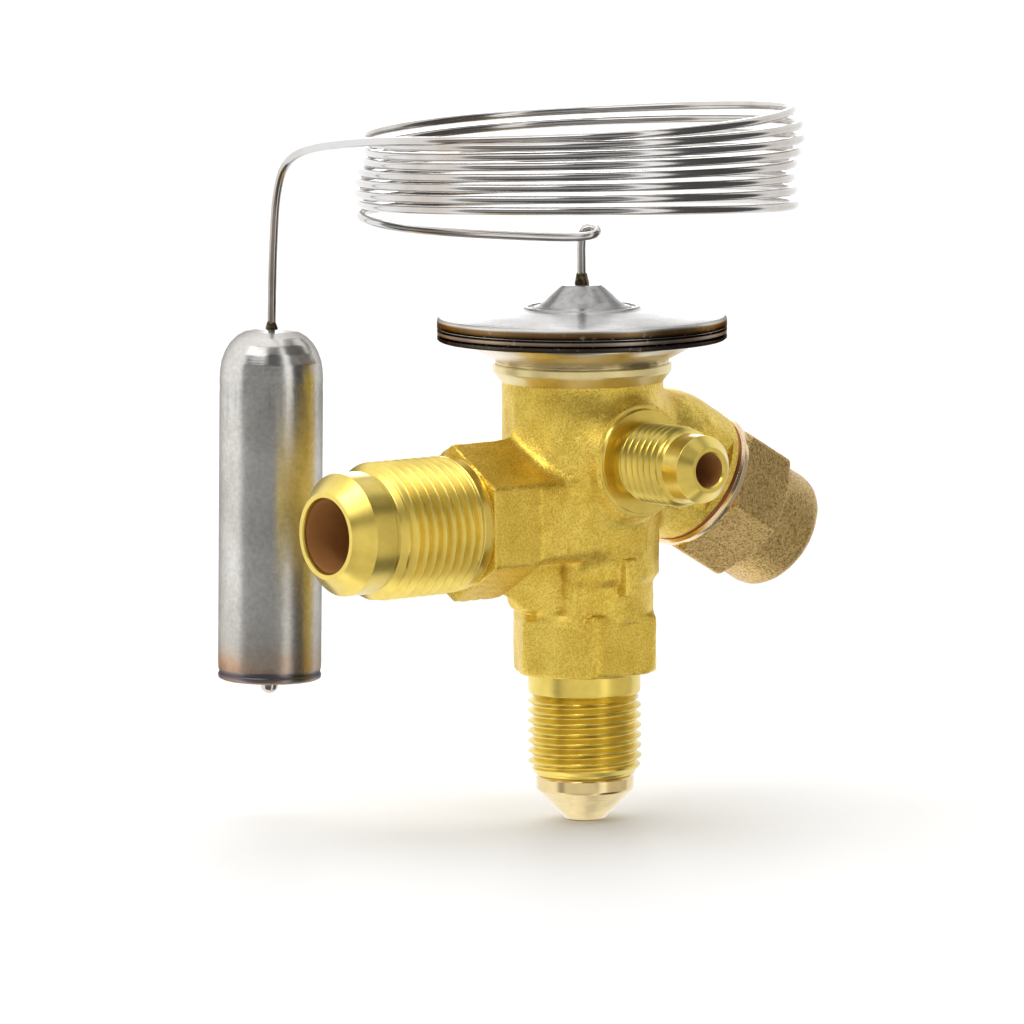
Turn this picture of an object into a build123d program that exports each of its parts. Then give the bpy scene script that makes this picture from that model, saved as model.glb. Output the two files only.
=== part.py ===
from build123d import *
import math
import os

# Thermostatic expansion valve, angle pattern, flare x flare, external equalizer.
# Millimetres. Origin: centre of the inlet stub's end face. +Z runs up the valve
# axis to the diaphragm head, the outlet points along -X, the equalizer along -Y,
# and the adjusting neck leaves towards +X, 30 degrees below the horizontal.

# ---------------------------------------------------------------- dimensions
# inlet, 5/8"-18 UNF flare stub
IN_THREAD_R = 15.875 / 2
IN_THREAD_CORE_END_R = 6.95
IN_THREAD_RUN = 14.5
IN_SHOULDER_R = 7.7
IN_BORE_R = 4.75
HEX_AF = 19.0
IN_HEX_Z0, IN_HEX_Z1 = 14.5, 22.7

# column and head seat
COLUMN_R = 9.7
SHOULDER_R = 10.5
TOP_R = 11.2
LIP_R = 12.4
LIP_Z0, LIP_Z1 = 55.6, 57.6
SPRING_BORE_R = 8.0
SPRING_BORE_Z = 43.4
OUT_CHAMBER_R = 6.0
OUT_CHAMBER_Z0, OUT_CHAMBER_Z1 = 30.4, 41.0

# outlet, 3/4"-16 UNF flare
OUT_Z = 36.86
OUT_THREAD_R = 19.05 / 2
OUT_HEX_X = 23.0
OUT_NOSE_R = 8.43
OUT_NOSE_X = 42.45
OUT_END_X = 44.9
OUT_BORE_R = 5.18

# equalizer, 7/16"-20 UNF flare
EQ_Z = 44.83
EQ_THREAD_R = 11.11 / 2
EQ_BOSS_R = 7.9
EQ_COLLAR_R = 7.15
EQ_COLLAR_Y = 13.5
EQ_NOSE_R = 4.67
EQ_NOSE_Y = 26.2
EQ_END_Y = 27.75
EQ_BORE_R = 2.5
EQ_PASSAGE_R = 1.5

# adjusting neck, inclined
NECK_Z = 51.2
NECK_TILT = 30.0
NECK_R = 9.85
NECK_END = 21.7
NECK_STUB_R = 7.0
NECK_STUB_END = 31.0
SPINDLE_THREAD_R = 4.0
SPINDLE_STEM_R = 2.5
GLAND_R = 5.0
SEAL_R = 4.2
SEAL_L0, SEAL_L1 = 18.4, 24.7
RING_L0, RING_L1 = 21.0, 22.6

# diaphragm head
HEAD_R = 20.14
HEAD_Z0, HEAD_Z1 = 60.8, 64.0
DIAPHRAGM_Z = 62.4
DIAPHRAGM_T = 0.2
DIAPHRAGM_DISH = 0.5
BOSS_TOP_Z = 68.4

# stroke parts
ROD_R = 1.5
BUSH_BORE_R = 1.55
ORIFICE_R = 1.25
SPRING_WIRE = 1.6
SPRING_MEAN_R = 6.0

# orifice assembly
SLEEVE_R = 4.66
SLEEVE_IN_R = 4.1
SLEEVE_TOP = 30.7
HEAD_FLANGE_R = 6.85
HEAD_FLANGE_T = 2.1
HEAD_CONE = 4.15
HEAD_BORE_R = 2.4

# capillary and bulb; these lie in a frame turned by VIEW about Z
VIEW = 38.28
CAP_R = 0.6
COIL_R = 30.4
BULB_R = 7.2
BULB_TOP, BULB_BOTTOM = 62.6, 13.6
BULB_LEAN = 0.94

os.makedirs("parts", exist_ok=True)
NODES = {}


def keep(name, shape):
    NODES[name] = shape
    export_step(shape, f"parts/{name}.step")
    return shape


def turned(points):
    """Solid of revolution about Z from a closed (radius, height) outline."""
    wire = Polyline(*[(r, 0, z) for r, z in points], close=True)
    return revolve(make_face(wire), axis=Axis.Z, revolution_arc=360)


def hexagon(af, z0, z1, spin=0.0):
    """Hexagonal prism about Z; corners on +X at spin 0."""
    r = af / math.sqrt(3)
    sketch = Rot(0, 0, spin) * RegularPolygon(radius=r, side_count=6)
    return Pos(0, 0, z0) * extrude(sketch, amount=z1 - z0)


def along(origin, direction, x_dir=(0, 1, 0)):
    """Location whose local +Z is the given direction."""
    return Location(Plane(origin=origin, z_dir=direction, x_dir=x_dir))


def spring(mean_r, wire_r, z0, z1, turns):
    """Open helical spring with ground ends between z0 and z1."""
    under = wire_r / 2
    height = z1 - z0 + 2 * under
    path = Helix(pitch=height / turns, height=height, radius=mean_r)
    section = Plane(origin=path @ 0, z_dir=path % 0) * Circle(wire_r)
    coil = Pos(0, 0, z0 - under) * sweep(section, path=path, is_frenet=True)
    slab = Pos(0, 0, (z0 + z1) / 2) * Box(4 * mean_r, 4 * mean_r, z1 - z0)
    return coil & slab


tilt = math.radians(NECK_TILT)
NECK_DIR = (math.cos(tilt), 0.0, -math.sin(tilt))
NECK = along((0, 0, NECK_Z), NECK_DIR)
OUT = along((0, 0, OUT_Z), (-1, 0, 0), (0, 0, 1))
EQ = along((0, 0, EQ_Z), (0, -1, 0), (1, 0, 0))

# ---------------------------------------------------------------- valve body
stub = turned([(0, 0), (IN_THREAD_CORE_END_R + 0.6, 0), (IN_THREAD_R, 0.35),
               (IN_THREAD_R, 10.5), (7.1, 11.0), (7.1, 11.4), (IN_SHOULDER_R - 0.1, 11.8),
               (IN_SHOULDER_R, 12.2), (IN_SHOULDER_R, IN_THREAD_RUN), (0, IN_THREAD_RUN)])
in_hex = hexagon(HEX_AF, IN_HEX_Z0, IN_HEX_Z1) & turned(
    [(0, IN_HEX_Z0), (9.5, IN_HEX_Z0), (11.2, IN_HEX_Z0 + 1.1), (11.2, IN_HEX_Z1 - 1.0),
     (9.7, IN_HEX_Z1), (0, IN_HEX_Z1)])
column = turned([(0, 22.0), (COLUMN_R, 22.0), (COLUMN_R, 27.2), (SHOULDER_R, 28.2),
                 (SHOULDER_R, 34.0), (TOP_R, 41.0), (TOP_R, LIP_Z0 - 0.3),
                 (LIP_R, LIP_Z0 + 0.6), (LIP_R, LIP_Z1), (0, LIP_Z1)])
out_hex = OUT * (hexagon(HEX_AF, 4.0, OUT_HEX_X, 0.0))
out_spigot = OUT * turned([(0, 0), (9.3, 0), (9.3, 24.7), (OUT_THREAD_R, 25.3), (OUT_THREAD_R, 38.2), (OUT_NOSE_R, 38.9),
                           (OUT_NOSE_R, OUT_NOSE_X), (OUT_NOSE_R - (OUT_END_X - OUT_NOSE_X), OUT_END_X),
                           (0, OUT_END_X)])
eq_boss = EQ * turned([(0, 2), (9.6, 2), (9.2, 8.0), (EQ_BOSS_R, 11.0), (EQ_BOSS_R, 12.9),
                       (EQ_COLLAR_R, EQ_COLLAR_Y - 0.5), (EQ_COLLAR_R, EQ_COLLAR_Y), (0, EQ_COLLAR_Y)])
eq_spigot = EQ * turned([(0, 4), (EQ_THREAD_R, 4), (EQ_THREAD_R, 22.4), (EQ_NOSE_R, 23.3),
                         (EQ_NOSE_R, EQ_NOSE_Y), (EQ_NOSE_R - (EQ_END_Y - EQ_NOSE_Y), EQ_END_Y),
                         (0, EQ_END_Y)])
neck = NECK * turned([(0, 3.0), (7.6, 3.0), (8.6, 10.5), (NECK_R, 14.5), (NECK_R, NECK_END),
                      (NECK_STUB_R, NECK_END), (NECK_STUB_R, NECK_STUB_END - 0.6),
                      (NECK_STUB_R - 0.6, NECK_STUB_END), (0, NECK_STUB_END)])
neck_root = NECK * turned([(0, 0), (30, 0), (30, 14.0), (0, 14.0)])
neck_shank = neck - neck_root
neck_shank = neck_shank & (NECK * (Pos(0, 0, 20.0) * Box(30, 16.8, 12.0)) + NECK * (Pos(0, 0, 27.0) * Box(30, 30.0, 10.6)))
neck = (neck & neck_root) + neck_shank
web_outline = make_face(Polyline((-12.25, -1.8), (-12.25, 2.0), (-7.5, 6.5), (0, 6.5), (0, -5.0), (-8.4, -5.0), close=True))
web = Pos(0, 0, 22.0) * extrude(web_outline, amount=11.0)
rib = Pos(-7.25, -6.25, 23.0) * Cylinder(0.95, 7.0, align=(Align.CENTER, Align.CENTER, Align.MIN))
lug = Pos(-0.38, -9.9, 28.5) * Box(2.5, 3.0, 5.2)
lug = fillet(lug.edges().filter_by(Axis.Y), 0.5)

body = stub + in_hex + column + out_hex + out_spigot + eq_boss + eq_spigot + neck + web + rib + lug
pocket_outline = make_face(Polyline((-14.6, -0.4), (-12.55, -1.9), (-8.15, -5.6), (-8.15, -14.0), (-14.6, -14.0), close=True))
body = body - Pos(0, 0, 23.5) * extrude(pocket_outline, amount=7.6)

# passages
inlet_bore = turned([(0, -1), (IN_BORE_R, -1), (IN_BORE_R, OUT_CHAMBER_Z0), (OUT_CHAMBER_R, OUT_CHAMBER_Z0 + 0.6),
                     (OUT_CHAMBER_R, OUT_CHAMBER_Z1), (0, OUT_CHAMBER_Z1)])
outlet_bore = OUT * turned([(0, 0), (4.1, 0), (4.1, 12.0), (OUT_BORE_R, 13.2), (OUT_BORE_R, OUT_END_X + 1), (0, OUT_END_X + 1)])
rod_hole = Pos(0, 0, 42.0) * Cylinder(3.0, 6.0)
spring_bore = turned([(0, SPRING_BORE_Z), (SPRING_BORE_R, SPRING_BORE_Z), (SPRING_BORE_R, 56.6), (9.0, 57.6), (9.0, 58.6), (0, 58.6)])
eq_bore = EQ * turned([(0, 6.0), (EQ_PASSAGE_R, 6.0), (EQ_PASSAGE_R, 19.0), (EQ_BORE_R, 19.0), (EQ_BORE_R, EQ_END_Y + 1), (0, EQ_END_Y + 1)])
neck_bore = NECK * turned([(0, 4.5), (2.75, 4.5), (2.75, 10.6), (SPINDLE_THREAD_R + 0.05, 10.6),
                           (SPINDLE_THREAD_R + 0.05, SEAL_L0), (SEAL_R, SEAL_L0), (SEAL_R, SEAL_L1),
                           (GLAND_R, SEAL_L1), (GLAND_R, NECK_STUB_END + 1), (0, NECK_STUB_END + 1)])
body = body - inlet_bore - outlet_bore - rod_hole - spring_bore - eq_bore - neck_bore
keep("valve_body", body)

# ------------------------------------------------------------ diaphragm head
joint_ring = turned([(9.0, LIP_Z1), (LIP_R - 0.25, LIP_Z1), (LIP_R - 0.25, LIP_Z1 + 0.35), (9.0, LIP_Z1 + 0.35)])
keep("body_joint_ring", joint_ring)

z = LIP_Z1 + 0.35
lower = turned([(9.6, z), (12.0, z), (12.2, z + 0.5), (14.9, 59.7), (15.2, 60.2), (15.3, HEAD_Z0),
                (HEAD_R - 0.25, HEAD_Z0), (HEAD_R, HEAD_Z0 + 0.25), (HEAD_R, HEAD_Z0 + 0.75),
                (HEAD_R - 0.35, HEAD_Z0 + 0.85), (HEAD_R - 0.35, HEAD_Z0 + 1.0), (HEAD_R, HEAD_Z0 + 1.1),
                (HEAD_R, DIAPHRAGM_Z), (17.6, DIAPHRAGM_Z), (16.8, 61.9), (13.4, 61.5),
                (13.4, 60.3), (11.5, 59.3), (9.6, 59.3)])
keep("lower_housing", lower)

dia = turned([(0, DIAPHRAGM_Z - DIAPHRAGM_DISH), (11.0, DIAPHRAGM_Z - DIAPHRAGM_DISH), (12.5, DIAPHRAGM_Z - 0.15),
              (14.0, DIAPHRAGM_Z - 0.45), (15.5, DIAPHRAGM_Z), (HEAD_R - 0.3, DIAPHRAGM_Z),
              (HEAD_R - 0.3, DIAPHRAGM_Z + DIAPHRAGM_T), (15.4, DIAPHRAGM_Z + DIAPHRAGM_T),
              (14.0, DIAPHRAGM_Z - 0.45 + DIAPHRAGM_T), (12.5, DIAPHRAGM_Z - 0.15 + DIAPHRAGM_T),
              (10.9, DIAPHRAGM_Z - DIAPHRAGM_DISH + DIAPHRAGM_T), (0, DIAPHRAGM_Z - DIAPHRAGM_DISH + DIAPHRAGM_T)])
keep("diaphragm", dia)

z = DIAPHRAGM_Z + DIAPHRAGM_T
upper = turned([(1.2, 63.6), (1.2, 65.1), (7.6, 65.1), (7.75, 65.35), (8.3, 65.3), (8.6, 65.05), (14.0, 64.55),
                (19.2, 64.1), (HEAD_R - 0.2, HEAD_Z1), (HEAD_R, HEAD_Z1 - 0.2), (HEAD_R, z), (15.9, z), (14.5, 62.95), (9.0, 63.4)])
keep("upper_housing", upper)

socket = turned([(CAP_R + 0.03, 65.1), (6.9, 65.1), (6.4, 65.6), (5.3, 66.0), (4.2, 66.9), (3.2, 68.0), (2.65, BOSS_TOP_Z - 0.15),
                 (2.45, BOSS_TOP_Z), (CAP_R + 0.03, BOSS_TOP_Z)])
keep("capillary_socket", socket)

# -------------------------------------------------------------- stroke parts
pad_top = DIAPHRAGM_Z - DIAPHRAGM_DISH
PAD_UNDER = 59.6
thrust_pad = turned([(0, 60.0), (ROD_R, 60.0), (ROD_R, PAD_UNDER), (4.6, PAD_UNDER), (4.6, 58.4), (5.0, 58.4), (5.1, PAD_UNDER),
                     (7.2, PAD_UNDER), (7.2, 60.5), (10.6, 60.9), (10.8, pad_top), (0, pad_top)])
keep("thrust_pad", thrust_pad)

NEEDLE_TOP = 31.9
push_rod = turned([(0, NEEDLE_TOP + 0.02), (ROD_R - 0.3, NEEDLE_TOP + 0.02), (ROD_R, NEEDLE_TOP + 0.5), (ROD_R, 60.0), (0, 60.0)])
keep("push_rod", push_rod)

bushing = turned([(BUSH_BORE_R, OUT_CHAMBER_Z1), (3.0, OUT_CHAMBER_Z1), (3.0, SPRING_BORE_Z), (4.4, SPRING_BORE_Z), (4.4, 44.3), (BUSH_BORE_R, 44.3)])
keep("rod_bushing", bushing)

SEAT_UNDER = 49.9
seat = turned([(ROD_R + 0.1, SEAT_UNDER), (7.94, SEAT_UNDER), (7.94, SEAT_UNDER + 2.2), (7.35, SEAT_UNDER + 2.2), (7.35, SEAT_UNDER + 1.2),
               (4.9, SEAT_UNDER + 1.2), (4.9, SEAT_UNDER + 2.6), (ROD_R + 0.1, SEAT_UNDER + 2.6)])
keep("spring_seat", seat)
keep("superheat_spring", spring(SPRING_MEAN_R, SPRING_WIRE / 2, SEAT_UNDER + 1.2, PAD_UNDER, 3.5))

# ---------------------------------------------------------- adjusting spindle
TIP_R = 2.5
TIP_L = (NECK_Z + TIP_R - SEAT_UNDER + 0.02) / math.sin(tilt)
spindle = turned([(0, TIP_L), (TIP_R, TIP_L), (TIP_R, 12.6), (SPINDLE_THREAD_R, 13.2), (SPINDLE_THREAD_R, 17.4), (SPINDLE_STEM_R, 18.0),
                  (SPINDLE_STEM_R, RING_L0), (1.7, RING_L0), (1.7, RING_L1), (SPINDLE_STEM_R, RING_L1), (SPINDLE_STEM_R, 29.5),
                  (SPINDLE_STEM_R - 0.4, 29.9), (0, 29.9)])
spindle = spindle + Pos(0, 0, TIP_L) * Sphere(TIP_R)
spindle = spindle - Pos(0, 0, 29.0) * Box(0.9, 6.0, 2.2)
keep("adjusting_spindle", NECK * spindle)
ring_mid, ring_half = (RING_L0 + RING_L1) / 2, (RING_L1 - RING_L0) / 2 - 0.05
o_ring = turned([(1.78, ring_mid - ring_half + 0.3), (2.1, ring_mid - ring_half), (3.8, ring_mid - ring_half), (4.14, ring_mid - ring_half + 0.3),
                 (4.14, ring_mid + ring_half - 0.3), (3.8, ring_mid + ring_half), (2.1, ring_mid + ring_half), (1.78, ring_mid + ring_half - 0.3)])
keep("spindle_o_ring", NECK * o_ring)
gland = turned([(SPINDLE_STEM_R + 0.08, SEAL_L1 + 0.02), (GLAND_R, SEAL_L1 + 0.02), (GLAND_R, 29.2), (GLAND_R - 0.4, 29.6), (SPINDLE_STEM_R + 0.08, 29.6)])
gland = gland - Pos(4.0, 0, 29.2) * Box(3.0, 1.2, 1.4) - Pos(-4.0, 0, 29.2) * Box(3.0, 1.2, 1.4)
keep("spindle_gland", NECK * gland)

# -------------------------------------------------------------------- seal cap
CAP_FACE = NECK_END + 0.55
CAP_HEX0, CAP_HEX1 = CAP_FACE + 1.1, 32.6
CAP_BOSS_R, CAP_END = 8.65, 40.6
cap_hex = hexagon(HEX_AF, CAP_HEX0 - 0.1, CAP_HEX1) & turned([(0, CAP_HEX0 - 0.1), (9.7, CAP_HEX0 - 0.1), (11.2, CAP_HEX0 + 0.7),
                                                              (11.2, CAP_HEX1 - 1.4), (9.3, CAP_HEX1), (0, CAP_HEX1)])
cap_boss = turned([(0, CAP_HEX1 - 1), (CAP_BOSS_R, CAP_HEX1 - 1), (CAP_BOSS_R, CAP_END - 1.8), (CAP_BOSS_R - 0.5, CAP_END - 0.75),
                   (CAP_BOSS_R - 1.5, CAP_END), (0, CAP_END)])
cap_ring = turned([(0, CAP_FACE), (9.8, CAP_FACE), (10.1, CAP_FACE + 0.35), (10.1, CAP_HEX0 - 0.1), (0, CAP_HEX0 - 0.1)])
cap_bore = turned([(0, CAP_FACE - 1), (NECK_STUB_R + 0.06, CAP_FACE - 1), (NECK_STUB_R + 0.06, 32.2), (5.6, 33.2), (5.6, 37.6), (0, 37.6)])
CORNER = 15.0
seal_cap = cap_ring + Rot(0, 0, CORNER) * cap_hex + cap_boss - cap_bore
keep("seal_cap", NECK * seal_cap)
keep("cap_gasket", NECK * turned([(NECK_STUB_R + 0.06, NECK_END + 0.02), (9.6, NECK_END + 0.02), (9.6, CAP_FACE - 0.02), (NECK_STUB_R + 0.06, CAP_FACE - 0.02)]))

# ------------------------------------------------------------ orifice assembly
head = turned([(HEAD_BORE_R, -HEAD_FLANGE_T - HEAD_CONE), (2.7, -HEAD_FLANGE_T - HEAD_CONE), (HEAD_FLANGE_R, -HEAD_FLANGE_T),
               (HEAD_FLANGE_R, -0.4), (HEAD_FLANGE_R - 0.3, 0), (SLEEVE_IN_R, 0), (SLEEVE_IN_R, 4.4), (3.7, 4.8), (HEAD_BORE_R, 4.8)])
keep("orifice_head", head)
sleeve = turned([(SLEEVE_IN_R, 0.0), (SLEEVE_R, 0.0), (SLEEVE_R, 13.4), (SLEEVE_R - 0.28, 13.8), (SLEEVE_R - 0.28, 14.4), (SLEEVE_R, 14.8),
                 (SLEEVE_R, 17.2), (SLEEVE_R - 0.28, 17.6), (SLEEVE_R - 0.28, 18.2), (SLEEVE_R, 18.6), (SLEEVE_R, 29.6),
                 (SLEEVE_R - 0.4, SLEEVE_TOP), (3.4, SLEEVE_TOP), (3.4, 30.3), (SLEEVE_IN_R, 30.1), (SLEEVE_IN_R, 18.4), (SLEEVE_IN_R - 0.2, 18.2),
                 (SLEEVE_IN_R - 0.2, 17.6), (SLEEVE_IN_R, 17.4), (SLEEVE_IN_R, 14.6), (SLEEVE_IN_R - 0.2, 14.4), (SLEEVE_IN_R - 0.2, 13.8), (SLEEVE_IN_R, 13.6)])
keep("orifice_sleeve", sleeve)
seat_z = 26.6
orifice_seat = turned([(ORIFICE_R, seat_z), (ORIFICE_R + 0.9, seat_z - 0.9), (SLEEVE_IN_R - 0.02, seat_z - 0.9), (SLEEVE_IN_R - 0.02, 30.0), (ORIFICE_R, 30.0)])
keep("orifice_seat", orifice_seat)
cone = turned([(0, 19.6), (1.4, 19.6), (1.4, 22.0), (3.4, 22.0), (3.4, 23.0), (2.1, 24.6), (2.1, 25.45), (0.95, 26.95),
               (0.8, 27.4), (0.8, NEEDLE_TOP), (0, NEEDLE_TOP)])
keep("valve_cone", cone)
keep("cone_spring", spring(2.5, 0.35, 11.6, 22.0, 6.0))
keep("spring_retainer", turned([(1.0, 10.6), (SLEEVE_IN_R - 0.22, 10.6), (SLEEVE_IN_R - 0.22, 11.6), (1.0, 11.6)]))
strainer = turned([(0, 9.9), (2.2, 9.9), (2.9, 5.3), (3.95, 5.3), (3.95, 4.82), (2.5, 4.82), (1.9, 9.5), (0, 9.5)])
keep("inlet_strainer", strainer)

# ------------------------------------------------------------------- capillary
view = math.radians(VIEW)


def W(r, c, z):
    """Point from sideways reach r, nearness c and height z."""
    return (r * math.cos(view) - c * math.sin(view), -r * math.sin(view) - c * math.cos(view), z)


RISER = [W(0, 0, 65.2), W(0, 0, 70.6), W(-0.05, -0.1, 76.3), W(2.1, 0.1, 76.25), W(2.2, 2.2, 75.6), W(-0.4, 2.7, 75.2),
         W(-4.4, 4.2, 75.4), W(-10.5, 6.4, 75.9), W(-17.5, 8.6, 76.5), W(-24.5, 9.6, 77.2), W(-29.6, 6.6, 78.0), W(-31.0, 1.2, 78.6)]
DROP = [W(-18.0, 24.5, 90.3), W(-25.2, 19.0, 90.0), W(-31.6, 12.9, 89.3), W(-37.6, 7.0, 88.2), W(-41.0, 3.4, 86.0), W(-42.2, 1.6, 81.4),
        W(-42.6, 0.7, 75.6), W(-42.9, 0.2, 69.4), W(-43.05, 0.0, 62.55)]


def tube(points, radius):
    """Straight runs joined by tangent arcs, as large as the runs allow."""
    vecs = [Vector(*p) for p in points]
    radii = []
    for i in range(1, len(vecs) - 1):
        a, b = vecs[i] - vecs[i - 1], vecs[i + 1] - vecs[i]
        turn = math.radians(a.get_angle(b))
        radii.append(0.45 * min(a.length, b.length) / math.tan(turn / 2))
    path = FilletPolyline(*points, radius=radii)
    section = Plane(origin=points[0], z_dir=vecs[1] - vecs[0]) * Circle(radius)
    solid = sweep(section, path=path)
    print("tube length %.1f, radii %s, volume/section*length %.4f" % (
        path.length, [round(r, 1) for r in radii], solid.volume / (math.pi * radius ** 2 * path.length)))
    return solid


keep("capillary_riser", tube(RISER, CAP_R))
keep("capillary_drop", tube(DROP, CAP_R))
ring = Pos(0, 0, 86) * (Cylinder(COIL_R + CAP_R, 24) - Cylinder(COIL_R - CAP_R, 30))
side = Vector(*W(1, 0, 0))
front = Vector(*W(0, 1, 0))
under = Plane(origin=(0, 0, 78.45), z_dir=(Vector(0, 0, 1) - side * 0.015 - front * 0.042).normalized(), x_dir=front)
over = Plane(origin=(0, 0, 91.3), z_dir=(Vector(0, 0, 1) - side * 0.079 - front * 0.042).normalized(), x_dir=front)
ring = ring & (Location(under) * Pos(0, 0, 40) * Box(90, 90, 80)) & (Location(over) * Pos(0, 0, -40) * Box(90, 90, 80))
keep("capillary_coil", ring)

# ------------------------------------------------------------------------ bulb
bulb_at = Location(Plane(origin=W(-43.05, 0, BULB_TOP), z_dir=Vector(*W(math.sin(math.radians(BULB_LEAN)), 0, math.cos(math.radians(BULB_LEAN)))), x_dir=front))
H = BULB_TOP - BULB_BOTTOM
D = 5.0
dome = [(BULB_R - D + D * math.cos(a), -D + D * math.sin(a)) for a in [math.radians(15 * k) for k in range(0, 7)]]
bulb = turned([(0, -H + 0.9), (BULB_R, -H + 0.9)] + dome + [(0, 0)])
keep("sensing_bulb", bulb_at * bulb)
keep("bulb_end_disc", bulb_at * turned([(0, -H), (BULB_R - 0.25, -H), (BULB_R, -H + 0.25), (BULB_R, -H + 0.9), (0, -H + 0.9)]))
keep("bulb_fill_tip", bulb_at * turned([(0, -H - 2.0), (0.7, -H - 1.9), (1.15, -H - 1.4), (1.25, -H - 0.6), (1.35, -H), (0, -H)]))

print(len(NODES), "nodes")
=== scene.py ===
import math

import bmesh
import bpy
import numpy as np
from mathutils import Matrix, Vector


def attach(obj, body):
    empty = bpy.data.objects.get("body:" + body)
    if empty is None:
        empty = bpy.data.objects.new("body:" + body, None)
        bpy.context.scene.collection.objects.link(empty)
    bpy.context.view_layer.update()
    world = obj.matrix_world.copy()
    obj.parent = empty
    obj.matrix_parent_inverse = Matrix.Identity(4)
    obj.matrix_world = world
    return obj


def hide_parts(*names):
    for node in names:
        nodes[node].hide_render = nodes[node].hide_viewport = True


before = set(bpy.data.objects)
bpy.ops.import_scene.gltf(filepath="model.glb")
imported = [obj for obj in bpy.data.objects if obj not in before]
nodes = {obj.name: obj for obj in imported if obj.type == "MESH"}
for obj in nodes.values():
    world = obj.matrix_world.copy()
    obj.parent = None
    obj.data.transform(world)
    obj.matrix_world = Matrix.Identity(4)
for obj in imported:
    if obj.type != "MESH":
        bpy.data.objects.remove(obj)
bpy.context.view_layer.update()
scene = bpy.context.scene
MM = 0.001

# ------------------------------------------------------------------ directions
# Millimetres. Z is the valve axis, the outlet leaves along -X, the equalizer
# along -Y, the adjusting neck towards +X and 30 degrees down. The capillary and
# bulb lie in a frame turned by VIEW about Z: r sideways, c towards the front.
VIEW = math.radians(38.28)
OUT_Z, EQ_Z, NECK_Z = 36.86, 44.83, 51.2
TILT = math.radians(30.0)
ND = np.array([math.cos(TILT), 0.0, -math.sin(TILT)])


def W(r, c, z):
    return (r * math.cos(VIEW) - c * math.sin(VIEW), -r * math.sin(VIEW) - c * math.cos(VIEW), z)


def axes(origin, direction, side):
    z = Vector(direction).normalized()
    x = Vector(side)
    x = (x - z * x.dot(z)).normalized()
    y = z.cross(x)
    return np.array([[x[i], y[i], z[i], origin[i]] for i in range(3)] + [[0, 0, 0, 1]], float)


UPRIGHT = np.eye(4)
OUT = axes((0, 0, OUT_Z), (-1, 0, 0), (0, 0, 1))
EQ = axes((0, 0, EQ_Z), (0, -1, 0), (1, 0, 0))
NECK = axes((0, 0, NECK_Z), ND, (0, 1, 0))
LEAN = math.radians(0.94)
BULB = axes(W(-43.05, 0, 62.6), W(math.sin(LEAN), 0, math.cos(LEAN)), W(0, 1, 0))


# ---------------------------------------------------------------------- meshes
def object_of(name, verts, faces, body, mats, smooth=True, sharp=38.0, weighted=True):
    """A closed mesh in millimetres becomes a piece that rides on a body."""
    mesh = bpy.data.meshes.new(name)
    mesh.from_pydata((np.asarray(verts, float) * MM).tolist(), [], [list(map(int, f)) for f in faces])
    return dressed(name, mesh, body, mats, smooth, sharp, weighted)


def dressed(name, mesh, body, mats, smooth=True, sharp=38.0, weighted=True):
    o = bpy.data.objects.new(name, mesh)
    scene.collection.objects.link(o)
    mesh.materials.clear()
    for m in mats:
        mesh.materials.append(m)
    bm = bmesh.new()
    bm.from_mesh(mesh)
    bmesh.ops.remove_doubles(bm, verts=bm.verts, dist=2e-7)
    bmesh.ops.dissolve_degenerate(bm, edges=bm.edges, dist=2e-7)
    bmesh.ops.recalc_face_normals(bm, faces=bm.faces)
    limit = math.radians(sharp)
    for f in bm.faces:
        f.smooth = smooth
    for e in bm.edges:
        e.smooth = not (len(e.link_faces) == 2 and e.calc_face_angle(0.0) > limit)
    bm.to_mesh(mesh)
    bm.free()
    if weighted:
        m = o.modifiers.new("normals", "WEIGHTED_NORMAL")
        m.keep_sharp = True
        m.weight = 60
    if body:
        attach(o, body)
    return o


def rounded(points, closed=False, per=3):
    """An (r, z[, radius]) outline with each corner that names a radius rounded."""
    pts = [(p[0], p[1], p[2] if len(p) > 2 else 0.0) for p in points]
    n, out = len(pts), []
    for i, (r, z, rad) in enumerate(pts):
        if rad <= 0 or (not closed and i in (0, n - 1)):
            out.append((r, z))
            continue
        p = np.array([r, z])
        a = np.array(pts[i - 1][:2]) - p
        b = np.array(pts[(i + 1) % n][:2]) - p
        la, lb = np.linalg.norm(a), np.linalg.norm(b)
        a, b = a / la, b / lb
        half = math.acos(max(-1, min(1, float(a @ b)))) / 2
        d = min(rad / max(math.tan(half), 1e-6), 0.48 * la, 0.48 * lb)
        for k in range(per + 1):
            t = k / per
            q = p + a * d * (1 - t) ** 2 + b * d * t ** 2
            out.append((float(q[0]), float(q[1])))
    return out


def turned(points, at=UPRIGHT, seg=96, closed=False, per=3):
    """Vertices and faces of a solid of revolution about the local Z of a frame."""
    prof = np.array(rounded(points, closed, per))
    n = len(prof)
    ang = np.arange(seg) * 2 * math.pi / seg
    v = np.zeros((n, seg, 3))
    v[:, :, 0] = prof[:, 0:1] * np.cos(ang)
    v[:, :, 1] = prof[:, 0:1] * np.sin(ang)
    v[:, :, 2] = prof[:, 1:2]
    faces = []
    for i in range(n if closed else n - 1):
        k = (i + 1) % n
        for j in range(seg):
            l = (j + 1) % seg
            faces.append((i * seg + j, i * seg + l, k * seg + l, k * seg + j))
    return moved(v.reshape(-1, 3), at), faces


def moved(v, at):
    return v @ at[:3, :3].T + at[:3, 3]


THREAD = [(0.0, 0.03), (0.05, 0.0), (0.10, 0.03), (0.15, 0.13), (0.30, 0.52), (0.44, 0.88), (0.49, 0.975),
          (0.55, 1.0), (0.61, 0.975), (0.66, 0.88), (0.80, 0.52), (0.95, 0.13)]


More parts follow.
